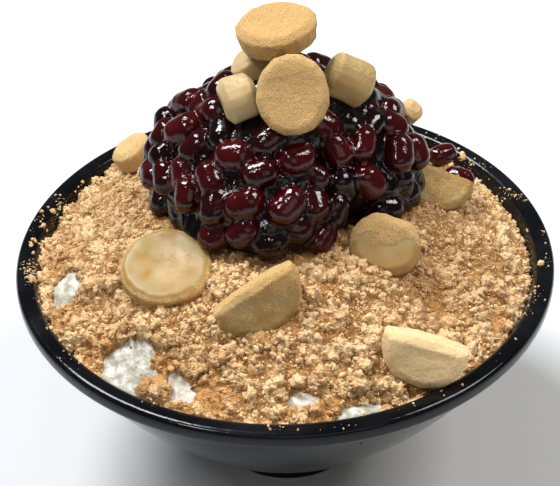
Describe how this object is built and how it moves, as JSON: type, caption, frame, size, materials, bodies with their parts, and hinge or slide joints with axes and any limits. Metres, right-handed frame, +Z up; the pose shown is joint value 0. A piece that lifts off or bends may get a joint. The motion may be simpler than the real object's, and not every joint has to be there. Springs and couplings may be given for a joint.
{
  "type": "bowl of bingsu",
  "caption": "Flared round bowl heaped with shaved ice under roasted soybean powder, topped with a mound of glossy sweet red beans and slices of rice cake.",
  "frame": {"origin": "middle of the bowl's foot, on the table", "axes": "+Z up; -Y towards the front of the serving, +X to its right"},
  "size_m": [0.15, 0.15, 0.1385],
  "materials": {
    "black_glaze": "glossy near-black glaze",
    "ice": "wet shaved ice, milky white",
    "soybean_powder": "dry matt crumbs and powder, golden tan",
    "red_beans": "wet glossy dark red beans in syrup",
    "rice_cake": "soft moist ivory rice cake dusted with powder"
  },
  "bodies": {
    "root": {"bowl": "black_glaze", "shaved_ice": "ice", "bean_powder": "soybean_powder", "red_bean_heap": "red_beans", "rice_cake_top": "rice_cake", "rice_cake_front": "rice_cake", "rice_cake_left_stub": "rice_cake", "rice_cake_back_stub": "rice_cake", "rice_cake_right_stub": "rice_cake", "rice_cake_left": "rice_cake", "rice_cake_centre": "rice_cake", "rice_cake_right": "rice_cake", "rice_cake_rim": "rice_cake", "rice_cake_far_right": "rice_cake", "rice_cake_far_left": "rice_cake", "rice_cake_shoulder": "rice_cake", "loose_bean_near": "red_beans", "loose_bean_far": "red_beans"}
  },
  "joints": []
}
